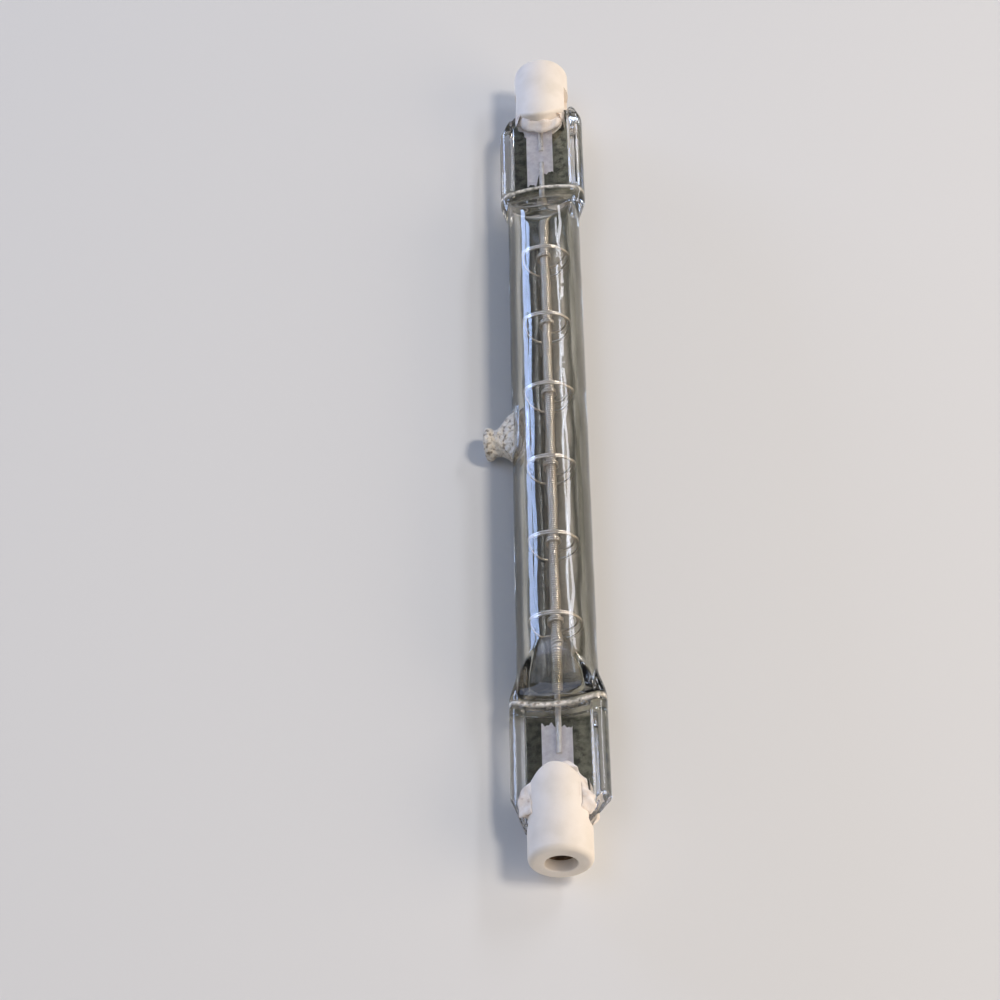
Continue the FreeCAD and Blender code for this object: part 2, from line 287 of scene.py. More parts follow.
def lathe(profile, segments):
    """Closed solid of revolution about X from (x, radius) points."""
    angles = np.linspace(0, 2 * math.pi, segments, endpoint=False)
    rings = [[(x, r * math.cos(a), r * math.sin(a)) for a in angles] for x, r in profile]
    points = np.array(rings).reshape(-1, 3)
    faces = []
    count = len(profile)
    for i in range(count):
        n = (i + 1) % count
        for j in range(segments):
            k = (j + 1) % segments
            faces.append((i * segments + j, i * segments + k, n * segments + k, n * segments + j))
    return points, faces


def arc(center, radius, start, end, steps):
    """Points on an arc in a profile, angles in degrees."""
    angles = np.radians(np.linspace(start, end, steps + 1))
    return [(center[0] + radius * math.cos(a), center[1] + radius * math.sin(a)) for a in angles]


def sweep(path, heading, radius, sides):
    """Points and faces of a round wire along a path that winds about X."""
    axis = np.array([1.0, 0.0, 0.0])
    outward = np.cross(heading, axis)
    outward /= np.linalg.norm(outward, axis=1)[:, None]
    sideways = np.cross(outward, heading)
    sideways /= np.linalg.norm(sideways, axis=1)[:, None]
    angles = np.linspace(0, 2 * math.pi, sides, endpoint=False)
    rings = (path[:, None, :] + radius * (np.cos(angles)[None, :, None] * outward[:, None, :]
                                          + np.sin(angles)[None, :, None] * sideways[:, None, :]))
    points, faces = ring_skin(rings, False)
    first = tuple(reversed(range(sides)))
    last = tuple(len(points) - sides + j for j in range(sides))
    return points, faces + [first, last]


def apply_modifiers(piece):
    """Replaces a piece's mesh by the result of its modifiers."""
    bpy.context.view_layer.update()
    result = bpy.data.meshes.new_from_object(piece.evaluated_get(bpy.context.evaluated_depsgraph_get()))
    piece.modifiers.clear()
    piece.data = result


def combine(piece, other, operation):
    """Boolean of two pieces, which uses up the second."""
    modifier = piece.modifiers.new("combine", "BOOLEAN")
    modifier.operation = operation
    modifier.solver = "EXACT"
    modifier.object = other
    apply_modifiers(piece)
    bpy.data.objects.remove(other)


def outward_normals(piece):
    work = bmesh.new()
    work.from_mesh(piece.data)
    bmesh.ops.recalc_face_normals(work, faces=work.faces)
    work.to_mesh(piece.data)
    work.free()


def finish_piece(piece, material, nodes, sharp_angle):
    """Smooth shading, one material, and its place in the frame."""
    piece.data.materials.clear()
    piece.data.materials.append(material)
    for polygon in piece.data.polygons:
        polygon.use_smooth = True
    piece.data.set_sharp_from_angle(angle=math.radians(sharp_angle))
    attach(piece, "root")
    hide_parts(*nodes)


# Materials

class Shader:
    """A Principled material with short calls for its procedural inputs, in the lamp's own frame in mm."""

    def __init__(self, name):
        self.material = bpy.data.materials.new(name)
        self.material.use_nodes = True
        self.tree = self.material.node_tree
        self.surface = self.tree.nodes["Principled BSDF"]
        coordinates = self.tree.nodes.new("ShaderNodeTexCoord")
        own = self.mapping(coordinates.outputs["Object"], (1 / MM, 1 / MM, 1 / MM))
        own.inputs["Rotation"].default_value = (-ROLL, 0, 0)
        own.inputs["Location"].default_value = (-GLASS_MIDDLE / MM, 0, 0)
        self.place = own.outputs["Vector"]

    def mapping(self, source, scale):
        mapping = self.tree.nodes.new("ShaderNodeMapping")
        mapping.inputs["Scale"].default_value = scale
        self.tree.links.new(source, mapping.inputs["Vector"])
        return mapping

    def set(self, **values):
        for name, value in values.items():
            self.surface.inputs[name.replace("_", " ")].default_value = value

    def noise(self, scale, detail=4.0, stretch=(1, 1, 1)):
        noise = self.tree.nodes.new("ShaderNodeTexNoise")
        noise.inputs["Scale"].default_value = scale
        noise.inputs["Detail"].default_value = detail
        self.tree.links.new(self.mapping(self.place, stretch).outputs["Vector"], noise.inputs["Vector"])
        return noise.outputs["Fac"]

    def coordinate(self, axis):
        separate = self.tree.nodes.new("ShaderNodeSeparateXYZ")
        self.tree.links.new(self.place, separate.inputs["Vector"])
        return separate.outputs[axis]

    def math(self, operation, first, second=None):
        node = self.tree.nodes.new("ShaderNodeMath")
        node.operation = operation
        self.tree.links.new(first, node.inputs[0])
        if second is not None:
            self.tree.links.new(second, node.inputs[1])
        return node.outputs["Value"]

    def ramp(self, source, stops):
        ramp = self.tree.nodes.new("ShaderNodeValToRGB")
        ends = ramp.color_ramp.elements
        while len(ends) < len(stops):
            ends.new(0.5)
        for element, (position, color) in zip(ends, stops):
            element.position = position
            element.color = (*color, 1.0)
        self.tree.links.new(source, ramp.inputs["Fac"])
        return ramp.outputs["Color"]

    def spread(self, source, low, high, start=0.0, end=1.0):
        """Source values from start to end, spread from low to high."""
        spread = self.tree.nodes.new("ShaderNodeMapRange")
        spread.inputs["From Min"].default_value = start
        spread.inputs["From Max"].default_value = end
        spread.inputs["To Min"].default_value = low
        spread.inputs["To Max"].default_value = high
        self.tree.links.new(source, spread.inputs["Value"])
        return spread.outputs["Result"]

    def mix(self, factor, first, second):
        mix = self.tree.nodes.new("ShaderNodeMix")
        mix.data_type = "RGBA"
        self.tree.links.new(factor, mix.inputs["Factor"])
        self.tree.links.new(first, mix.inputs["A"])
        self.tree.links.new(second, mix.inputs["B"])
        return mix.outputs["Result"]

    def drive(self, name, source):
        self.tree.links.new(source, self.surface.inputs[name])

    def bump(self, source, strength, distance):
        bump = self.tree.nodes.new("ShaderNodeBump")
        bump.inputs["Strength"].default_value = strength
        bump.inputs["Distance"].default_value = distance
        self.tree.links.new(source, bump.inputs["Height"])
        self.tree.links.new(bump.outputs["Normal"], self.surface.inputs["Normal"])


def quartz_glass():
    """Clear above; painted shade, streaky and olive, below, in the side walls, on the shoulders and in the
    pinch's web; milky at the tip, brightened there as painted highlight, and a painted highlight along the
    ridges.
    """
    shader = Shader("quartz_glass")
    shader.set(IOR=1.458)
    along = shader.math("ABSOLUTE", shader.coordinate("X"))
    across = shader.math("ABSOLUTE", shader.coordinate("Y"))
    streaks = shader.noise(0.9, 4.0, (0.06, 1, 1))
    mottle = shader.noise(0.7, 4.0)
    on_pinch = shader.spread(along, 0.0, 1.0, PINCH_INNER + 0.3, PINCH_INNER + 1.3)
    on_tube = shader.spread(along, 1.0, 0.0, TUBE_END, PINCH_INNER)

    # Painted shade: the lower half, its side walls, the shoulders and the pinch's web are darkened, streaky
    # and olive, as if the lamp's shadow on the floor showed through the glass.
    tube = shader.ramp(streaks, [(0.3, (0.36, 0.335, 0.29)), (0.7, (0.84, 0.79, 0.71))])
    shoulder = shader.ramp(mottle, [(0.35, (0.07, 0.07, 0.05)), (0.65, (0.3, 0.29, 0.22))])
    low_side = shader.ramp(streaks, [(0.3, (0.03, 0.03, 0.02)), (0.7, (0.15, 0.145, 0.105))])
    web = shader.ramp(shader.noise(1.1, 5.0), [(0.38, (0.005, 0.006, 0.004)), (0.62, (0.05, 0.053, 0.036))])
    lower = shader.mix(shader.spread(across, 0.0, 1.0, *LOW_SIDE), tube, low_side)
    on_shoulder = shader.spread(along, 0.0, 1.0, TUBE_END - 1.0, TUBE_END + 3.0)
    lower = shader.mix(on_shoulder, lower, shoulder)
    lower = shader.mix(on_pinch, lower, web)

    clear = shader.ramp(mottle, [(0.3, (0.88, 0.9, 0.9)), (0.7, (0.95, 0.96, 0.96))])
    # Painted shade on the upper shoulders and the upper side walls; the rest of the upper half is the glass's
    # own near-clear colour.
    high_shoulder = shader.ramp(mottle, [(0.35, (0.45, 0.44, 0.37)), (0.65, (0.8, 0.78, 0.7))])
    high_side = shader.ramp(streaks, [(0.35, (0.16, 0.155, 0.115)), (0.65, (0.5, 0.485, 0.415))])
    side = shader.math("MULTIPLY", on_tube, shader.spread(across, 0.0, 1.0, *HIGH_SIDE))
    bare = shader.math("MULTIPLY", on_shoulder, shader.spread(on_pinch, 1.0, 0.0))
    upper = shader.mix(side, shader.mix(bare, clear, high_shoulder), high_side)
    level = shader.spread(shader.coordinate("Z"), 0.0, 1.0, *MID_LEVEL)
    rail = shader.math("MULTIPLY", on_pinch, shader.spread(across, 0.0, 1.0, *RAIL_SIDE))
    glass = shader.mix(shader.math("MAXIMUM", level, rail), lower, upper)

    # Painted highlight: a pale milky line along each pinch's ridge.
    bow = shader.spread(shader.math("MULTIPLY", across, across), 0.0, RIDGE_BOW, 0.0, PINCH_HALF_WIDTH ** 2)
    ridge_line = PINCH_INNER + RIDGE_WIDTH / 2
    off_ridge = shader.spread(shader.math("ADD", along, bow), -1.0, 1.0, ridge_line - 1, ridge_line + 1)
    ridge = shader.spread(shader.math("ABSOLUTE", off_ridge), 1.0, 0.0, *RIDGE_HIGHLIGHT)
    ridge = shader.math("MULTIPLY", ridge, shader.spread(shader.noise(1.4, 3.0), 0.3, 1.0, 0.3, 0.55))
    ridge = shader.math("MULTIPLY", ridge, level)
    # The tip is milky glass whose colour is brightened as painted highlight.
    off_tip = shader.spread(shader.coordinate("X"), -5.0, 5.0, TIP_POSITION - 5, TIP_POSITION + 5)
    tip = shader.spread(shader.math("ABSOLUTE", off_tip), 1.0, 0.0, *TIP_HAZE_AND_HIGHLIGHT)
    tip = shader.math("MULTIPLY", tip, shader.spread(shader.coordinate("Y"), 1.0, 0.0, *TIP_HAZE_AND_HIGHLIGHT_ROOT))
    milky_and_highlight = shader.ramp(shader.noise(2.0, 4.0), [(0.36, (0.34, 0.28, 0.21)), (0.46, (0.95, 0.87, 0.75)),
                                                 (0.7, (1.0, 0.96, 0.88))])
    haze_and_highlight = shader.math("MAXIMUM", ridge, tip)
    shader.drive("Base Color", shader.mix(haze_and_highlight, glass, milky_and_highlight))
    shader.drive("Transmission Weight", shader.spread(haze_and_highlight, 1.0, 0.2))
    shader.drive("Roughness", shader.spread(haze_and_highlight, 0.0, 0.3))
    lumps = shader.math("MULTIPLY", tip, shader.spread(shader.noise(1.6, 3.0), 0.0, 0.9))
    lines = shader.spread(shader.noise(0.9, 2.0, (0.05, 1, 1)), 0.0, 0.0075)
    shader.bump(shader.math("ADD", lumps, lines), 1.0, MM)
    return shader.material


def drawn_metal(name, dark, light, roughness):
    shader = Shader(name)
    shader.set(Metallic=0.8)
    shader.drive("Base Color", shader.ramp(shader.noise(0.9), [(0.3, dark), (0.7, light)]))
    shader.drive("Roughness", shader.spread(shader.noise(1.5), roughness - 0.08, roughness + 0.08))
    shader.bump(shader.noise(4.0, 5.0, (0.1, 1, 1)), 0.3, 0.00003)
    return shader.material


def foil_metal():
    shader = Shader("molybdenum_foil")
    shader.set(Metallic=0.1)
    shader.drive("Base Color", shader.ramp(shader.noise(1.6, 5.0), [(0.3, (0.76, 0.72, 0.76)),
                                                                    (0.7, (0.97, 0.94, 0.97))]))
    shader.drive("Roughness", shader.spread(shader.noise(1.2), 0.45, 0.65))
    shader.bump(shader.noise(2.5, 4.0), 0.4, 0.00006)
    return shader.material


def steatite():
    shader = Shader("steatite")
    shade = shader.noise(0.35, 6.0)
    shader.drive("Base Color", shader.ramp(shade, [(0.3, (0.8, 0.73, 0.64)), (0.55, (0.87, 0.8, 0.72)),
                                                   (0.8, (0.9, 0.84, 0.77))]))
    shader.drive("Roughness", shader.spread(shader.noise(0.9), 0.5, 0.75))
    shader.bump(shader.noise(5.0, 6.0), 0.25, 0.00004)
    return shader.material


# Painted shade: dark brown for the deep part of a cap's recess.
def recess_shade_steatite():
    shader = Shader("recess_shade_steatite")
    shader.drive("Base Color", shader.ramp(shader.noise(1.2, 5.0), [(0.3, (0.08, 0.045, 0.025)),
                                                                    (0.7, (0.25, 0.16, 0.1))]))
    shader.drive("Roughness", shader.spread(shader.noise(2.0), 0.6, 0.85))
    shader.bump(shader.noise(5.0, 6.0), 0.25, 0.00004)
    return shader.material


def cement_paste():
    shader = Shader("cement_paste")
    shader.set(Roughness=0.9)
    shader.drive("Base Color", shader.ramp(shader.noise(0.9, 6.0), [(0.3, (0.48, 0.36, 0.27)),
                                                                    (0.4, (0.8, 0.71, 0.63)),
                                                                    (0.65, (0.92, 0.87, 0.83))]))
    shader.bump(shader.noise(3.5, 8.0), 0.5, 0.0001)
    return shader.material


def contact_metal():
    shader = Shader("contact_metal")
    shader.set(Metallic=1.0)
    shader.drive("Base Color", shader.ramp(shader.noise(1.2, 5.0), [(0.3, (0.12, 0.08, 0.06)),
                                                                    (0.7, (0.3, 0.23, 0.18))]))
    shader.drive("Roughness", shader.spread(shader.noise(2.5), 0.35, 0.6))
    shader.bump(shader.noise(3.0, 5.0), 0.3, 0.00005)
    return shader.material


# Quartz envelope

def jaw_height(x, end, top, flat):
    """Half height between the press jaws, from the tube to the flat at the end."""
    closing = ease((x - (end - SHOULDER_LENGTH)) / SHOULDER_LENGTH)
    return top + PRESS_LIFT + (flat - top - PRESS_LIFT) * closing


def groove(x, y):
    """1 in the pressed web between the rails, 0 outside, with a rounded inner corner and a soft wall."""
    across = np.abs(y) - GROOVE_HALF_WIDTH + GROOVE_CORNER
    along = PINCH_INNER + RIDGE_WIDTH - x + GROOVE_CORNER
    outside = np.hypot(np.maximum(across, 0), np.maximum(along, 0))
    distance = outside + np.minimum(np.maximum(across, along), 0) - GROOVE_CORNER
    return 1 - ease(distance / GROOVE_STEP + 0.5)


def outer_half_width(reach):
    return TUBE_RADIUS + (PINCH_HALF_WIDTH - TUBE_RADIUS) * ease((reach - FLARE_START) / FLARE_LENGTH)


def outer_height(reach, y, width):
    """Half thickness of the envelope at a station and a place across it."""
    pressed = reach + RIDGE_BOW * (y / PINCH_HALF_WIDTH) ** 2
    tube = np.sqrt(np.maximum(TUBE_RADIUS ** 2 - y ** 2, 0))
    tube = smooth_min(tube, jaw_height(pressed, PINCH_INNER, TUBE_RADIUS, RAIL_HALF), CREASE)
    side = np.clip((np.abs(y) - width + RAIL_EDGE) / RAIL_EDGE, 0, 1)
    thick = RAIL_HALF - (RAIL_HALF - WEB_HALF) * groove(pressed, y)
    thick += RIDGE_LIFT * np.exp(-((pressed - PINCH_INNER - RIDGE_WIDTH / 2) / (RIDGE_WIDTH / 2)) ** 2)
    bar = thick * (1 - side ** RAIL_POWER) ** (1 / RAIL_POWER)
    edge = np.clip((width - np.abs(y)) / (2 * CREASE), 0.02, 1)
    pinch = smooth_max(np.where(pressed < PINCH_INNER + RIDGE_WIDTH / 2, tube, 0), bar, CREASE * edge)
    round_tube = np.sqrt(np.maximum(width ** 2 - y ** 2, 0))
    share = ease((reach - TUBE_END) / PRESS_BLEND + 0.5)
    return round_tube * (1 - share) + pinch * share


def corner_pull(x, y):
    """How far a point of the pinch is drawn towards the lamp's middle by the rounding of its corner."""
    pull = np.zeros_like(x)
    for (end, side), (depth, start) in CORNER_PULL.items():
        here = (np.sign(x) == (1 if end == "near" else -1)) & (np.sign(y) == side)
        across = ease((np.abs(y) - start) / (PINCH_HALF_WIDTH - start))
        pull += np.where(here, depth * across, 0)
    return pull * ease((np.abs(x) - PINCH_OUTER + CORNER_REACH) / CORNER_REACH)


def surface_wave(x, turn):
    """Unevenness of the drawn tube: long swells all round, and ripples on its upper +Y side."""
    swell = LONG_SWELL * np.sin(0.55 * x + 1.0 + 2.0 * np.sin(turn))
    swell += SHORT_SWELL * np.sin(1.1 * x + 3 * np.cos(turn))
    ripple = BROAD_RIPPLE * np.sin(5 * turn + 0.45 * x + 1.3 * np.sin(0.23 * x))
    ripple += FINE_RIPPLE * np.sin(9 * turn - 1.7 * x)
    return swell + ripple * ease(1.5 * np.cos(turn)) * ease(2 * np.sin(turn))


def stations(marks):
    """Places along X from (end, step) marks, starting at 0."""
    places = [0.0]
    for end, step in marks:
        count = max(1, round((end - places[-1]) / step))
        places += list(np.linspace(places[-1], end, count + 1)[1:])
    return np.array(places)


def envelope_outside():
    """Skin of the glass, finest about the ridges."""
    half = stations([(TUBE_END - 1.5, 0.6), (PINCH_INNER - 2.0, 0.25), (PINCH_INNER + 2.0, 0.1),
                     (PINCH_OUTER - END_ROUNDING, 0.4)])
    rounding = PINCH_OUTER - END_ROUNDING + END_ROUNDING * np.sin(np.radians(np.linspace(15, 90, 6)))
    half = np.concatenate([half, rounding])
    along = np.concatenate([-half[:0:-1], half])
    turns = np.linspace(0, 2 * math.pi, ENVELOPE_SIDES, endpoint=False)
    x, turn = np.meshgrid(along, turns, indexing="ij")
    reach = np.abs(x)
    width = outer_half_width(reach)
    into_end = np.clip((reach - PINCH_OUTER + END_ROUNDING) / END_ROUNDING, 0, 1)
    pull = END_ROUNDING * (1 - np.sqrt(1 - into_end ** 2))
    y = (width - pull) * np.cos(turn)
    z = np.sign(np.sin(turn)) * np.maximum(outer_height(reach, y, width) - pull, LEAST_HALF)
    z = np.where(np.abs(np.sin(turn)) < 1e-6, 0, z)
    wave = surface_wave(x, turn) * fade(reach, WAVE_FADE_START, WAVE_FADE_LENGTH) / TUBE_RADIUS
    rings = np.stack([x - np.sign(x) * corner_pull(x, y), y * (1 + wave), z * (1 + wave)], axis=-1)
    return mesh_object("envelope", *ring_skin(rings, True))


def envelope_cavity():
    """The bore, flattened between the jaws at both ends and closed by a short rounding."""
    taper_start = CAVITY_END - CAVITY_TAPER
    half = stations([(29.0, 1.2), (CAVITY_END - 1.8, 0.3), (CAVITY_END - CAVITY_ROUNDING, 0.15)])
    rounding = CAVITY_END - CAVITY_ROUNDING + CAVITY_ROUNDING * np.sin(np.radians(np.linspace(15, 88, 6)))
    half = np.concatenate([half, rounding])
    along = np.concatenate([-half[:0:-1], half])
    turns = np.linspace(0, 2 * math.pi, CAVITY_SIDES, endpoint=False)
    x, turn = np.meshgrid(along, turns, indexing="ij")
    reach = np.abs(x)
    narrowing = np.clip((reach - taper_start) / (CAVITY_TAPER + 0.2), 0, 1)
    width = BORE_RADIUS * np.sqrt(1 - narrowing ** 2)
    y = width * np.cos(turn)
    bore = np.sqrt(np.maximum(width ** 2 - y ** 2, 0)) * BORE_RADIUS / width
    height = smooth_min(bore, jaw_height(reach, CAVITY_END, BORE_RADIUS, SLIT_HALF), CAVITY_CREASE)
    into_end = np.clip((reach - CAVITY_END + CAVITY_ROUNDING) / CAVITY_ROUNDING, 0, 1)
    height = np.maximum(height * np.sqrt(1 - into_end ** 2), 0.01)
    z = np.where(np.abs(np.sin(turn)) < 1e-6, 0, np.sign(np.sin(turn)) * height)
    wave = BORE_SWELL * np.sin(0.4 * x + 2.0 * np.cos(turn)) / BORE_RADIUS
    wave = wave * fade(reach, BORE_FADE_START, BORE_FADE_LENGTH)
    rings = np.stack([x, y * (1 + wave), z * (1 + wave)], axis=-1)
    return mesh_object("cavity", *ring_skin(rings, True))


def tip_solid(name, sections, segments, wrinkle):
    """Solid on the exhaust tip's axis from (reach, lean along X, half size along X, half size across)."""
    angles = np.linspace(0, 2 * math.pi, segments, endpoint=False)
    rings = []
    for reach, lean, a, b in sections:
        folds = 0.5 * np.sin(4 * angles + 1.7 * reach) + 0.5 * np.sin(7 * angles - 2.3 * reach)
        size = 1 - wrinkle * (1 + folds)
        rings.append(np.stack([TIP_POSITION + lean + a * size * np.cos(angles), np.full(segments, -reach),
                               b * size * np.sin(angles)], axis=-1))
    points, faces = ring_skin(np.array(rings), False)
    first = tuple(range(segments))
    last = tuple(len(points) - segments + j for j in range(segments))
    return mesh_object(name, points, faces + [first, last])


def exhaust_tip():
    """Flare off the tube, leaning a little, then a neck and a rounded bead with a dimpled end."""
    sections = []
    for reach in np.linspace(TUBE_RADIUS - TIP_ROOT, TIP_NECK_REACH, 18):
        opening = ((TIP_NECK_REACH - reach) / TIP_FLARE) ** TIP_FLARE_POWER
        lean = -TIP_LEAN * ease((TIP_NECK_REACH - reach) / TIP_FLARE)
        sections.append((reach, lean, TIP_NECK_RADIUS + TIP_FLARE_ALONG * opening,
                         TIP_NECK_RADIUS + TIP_FLARE_ROUND * opening))
    bead_middle = TIP_REACH - TIP_BEAD_EDGE
    for angle in np.radians(np.linspace(-60, 88, 14)):
        radius = TIP_BEAD_RADIUS - TIP_BEAD_EDGE + TIP_BEAD_EDGE * math.cos(angle)
        sections.append((bead_middle + TIP_BEAD_EDGE * math.sin(angle), 0, radius, radius))
    for depth, radius in TIP_DIMPLE:
        sections.append((TIP_REACH - depth, 0, radius, radius))
    return tip_solid("tip", sections, 72, TIP_WRINKLE)


def tip_funnel():
    """Hollow that narrows from the bore into the bead."""
    sections = []
    for share in np.linspace(0, 1, 9):
        radius = FUNNEL_END_RADIUS + FUNNEL_MOUTH * (1 - share) ** FUNNEL_POWER
        reach = BORE_RADIUS - FUNNEL_ROOT + FUNNEL_LENGTH * share
        sections.append((reach, -FUNNEL_LEAN * (1 - share), radius, radius))
    return tip_solid("funnel", sections, 48, 0)


def quartz_envelope(material):
    envelope = envelope_outside()
    tip = exhaust_tip()
    cavity = envelope_cavity()
    hollow = tip_funnel()
    for piece in (envelope, tip, cavity, hollow):
        outward_normals(piece)
    combine(envelope, tip, "UNION")
    combine(cavity, hollow, "UNION")
    combine(envelope, cavity, "DIFFERENCE")
    finish_piece(envelope, material, ["quartz_envelope"], 40)


# Wire, leads and foils

def filament_coil(material):
    turns = 2 * COIL_END / COIL_PITCH
    turn = np.linspace(0, turns, round(turns * COIL_STEPS) + 1)
    radius = COIL_RADIUS - COIL_WIRE / 2
    angle = 2 * math.pi * turn
    path = np.stack([COIL_PITCH * turn - COIL_END, radius * np.cos(angle), radius * np.sin(angle)], axis=-1)
    heading = np.stack([np.full_like(turn, COIL_PITCH / (2 * math.pi)), -radius * np.sin(angle),
                        radius * np.cos(angle)], axis=-1)
    heading /= np.linalg.norm(heading, axis=1)[:, None]
    coil = mesh_object("coil", *sweep(path, heading, COIL_WIRE / 2, COIL_SIDES))
    outward_normals(coil)
    finish_piece(coil, material, ["filament_coil"], 70)


def support_path(turn, x):
    """Middle of a support's wire: turns gripping the coil, opening to a ring inside the bore."""
    share = ease((turn - GRIP_TURNS) / OPENING_TURNS)
    radius = GRIP_RADIUS + (RING_RADIUS - GRIP_RADIUS) * share
    angle = 2 * math.pi * turn
    along = x + SUPPORT_LEAD * (turn - SUPPORT_TURNS / 2)
    return np.stack([along, radius * np.cos(angle), radius * np.sin(angle)], axis=-1)


def support_wires(material):
    turn = np.linspace(0, SUPPORT_TURNS, SUPPORT_STEPS)
    for number in range(SUPPORT_COUNT):
        x = SUPPORT_FIRST + SUPPORT_PITCH * number
        path = support_path(turn, x)
        heading = support_path(turn + HEADING_STEP, x) - support_path(turn - HEADING_STEP, x)
        heading /= np.linalg.norm(heading, axis=1)[:, None]
        skin = sweep(path, heading, SUPPORT_WIRE / 2, SUPPORT_SIDES)
        wire = mesh_object("support_wire_%d" % (number + 1), *skin)
        outward_normals(wire)
        finish_piece(wire, material, ["support_%d" % (number + 1)], 70)


def seal_foil(end, material):
    """Thin foil in the web, buckled beside the leads, with a torn inner edge that is longer towards -Y."""
    turns = np.linspace(0, 2 * math.pi, 72, endpoint=False)
    share, turn = np.meshgrid(np.linspace(0, 1, 48), turns, indexing="ij")
    y = FOIL_HALF_WIDTH * np.cos(turn)
    torn = FOIL_TEAR * np.sin(5.0 * y + 1.0) + FOIL_FINE_TEAR * np.sin(13.0 * y)
    inner = FOIL_INNER[end] - FOIL_TONGUE[end] * ease((-y - 0.1) / 0.5) + torn
    reach = inner + (FOIL_OUTER - inner) * share
    buckle = FOIL_BUCKLE * np.sin(0.9 * reach + 1.5 * y) * ease((np.abs(y) - FOIL_FLAT_HALF) / 0.5)
    z = FOIL_TOP - FOIL_THICKNESS / 2 + buckle + FOIL_THICKNESS / 2 * np.sign(np.round(np.sin(turn), 6))
    x = reach if end == "near" else -reach
    foil = mesh_object("foil_" + end, *ring_skin(np.stack([x, y + FOIL_SHIFT, z], axis=-1), True))
    outward_normals(foil)
    finish_piece(foil, material, ["seal_foil_" + end], 50)


def dress_nodes(material, names):
    """CAD nodes that keep their shape and get a better material."""
    for name in names:
        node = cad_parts[name]
        node.data.materials.clear()
        node.data.materials.append(material)


# Caps, contacts and cement

def at_end(points, end):
    """Points drawn on the axis of the near cap of a lamp with even ends, moved to a cap."""
    moved = np.array(points, float)
    moved[:, 1] -= CAP_OFFSET
    if end == "far":
        moved *= (-1, -1, 1)
    moved[:, 0] -= CAP_SHIFT
    return moved


def ceramic_cap(end, material, recess_shade):
    """Turned cap, with painted shade at the bottom of its recess, and a slot between two bowed lips."""
    profile = [(CAP_INNER, HOLE_RADIUS)]
    lip = (CAP_INNER + CAP_INNER_RADIUS, CAP_RADIUS - CAP_INNER_RADIUS)
    profile += arc(lip, CAP_INNER_RADIUS, 180, 90, 5)
    profile += arc((CAP_OUTER - CAP_END_RADIUS, CAP_RADIUS - CAP_END_RADIUS), CAP_END_RADIUS, 90, 0, 10)
    profile += arc((CAP_OUTER - RECESS_EDGE, RECESS_RADIUS + RECESS_EDGE), RECESS_EDGE, 0, -90, 5)
    profile += [(CONTACT_FACE + RECESS_SHADE_DEPTH, RECESS_RADIUS), (CONTACT_FACE, RECESS_RADIUS),
                (CONTACT_FACE, POCKET_RADIUS), (CONTACT_BACK, POCKET_RADIUS), (CONTACT_BACK, HOLE_RADIUS)]
    points, faces = lathe(profile, 96)
    on_lip = points[:, 0] < CAP_INNER + 2 * CAP_INNER_RADIUS
    points[:, 0] += np.where(on_lip, LIP_BOW * (points[:, 1] / CAP_RADIUS) ** 2, 0)
    cap = mesh_object("cap_" + end, at_end(points, end), faces)
    outward_normals(cap)
    corners = [(x, y, z) for x in (SLOT_START, SLOT_END) for y in (-SLOT_REACH, SLOT_REACH)
               for z in (-SLOT_HALF, SLOT_HALF)]
    sides = [(0, 1, 3, 2), (4, 6, 7, 5), (0, 4, 5, 1), (2, 3, 7, 6), (0, 2, 6, 4), (1, 5, 7, 3)]
    slot = mesh_object("slot", at_end(corners, end), sides)
    outward_normals(slot)
    combine(cap, slot, "DIFFERENCE")
    finish_piece(cap, material, ["ceramic_cap_" + end], 30)
    # The deep part of the recess gets this dark material as painted shade.
    cap.data.materials.append(recess_shade)
    axis = Vector(at_end([(CONTACT_FACE, 0, 0)], end)[0])
    for polygon in cap.data.polygons:
        from_axis = TO_LAMP @ polygon.center - axis
        inside = math.hypot(from_axis.y, from_axis.z) < RECESS_RADIUS + RECESS_SHADE_MARGIN
        if inside and abs(from_axis.x) < RECESS_SHADE_DEPTH:
            polygon.material_index = 1


def contact(end, material):
    profile = [(CONTACT_BACK, CONTACT_PINHOLE), (CONTACT_BACK, CONTACT_RADIUS)]
    profile += arc((CONTACT_FACE - CONTACT_EDGE, CONTACT_RADIUS - CONTACT_EDGE), CONTACT_EDGE, 0, 90, 4)[::-1]
    profile += [(CONTACT_FACE + rise, radius) for rise, radius in CONTACT_DOME]
    points, faces = lathe(profile, 64)
    piece = mesh_object("contact_button_" + end, at_end(points, end), faces)
    outward_normals(piece)
    finish_piece(piece, material, ["contact_" + end], 40)


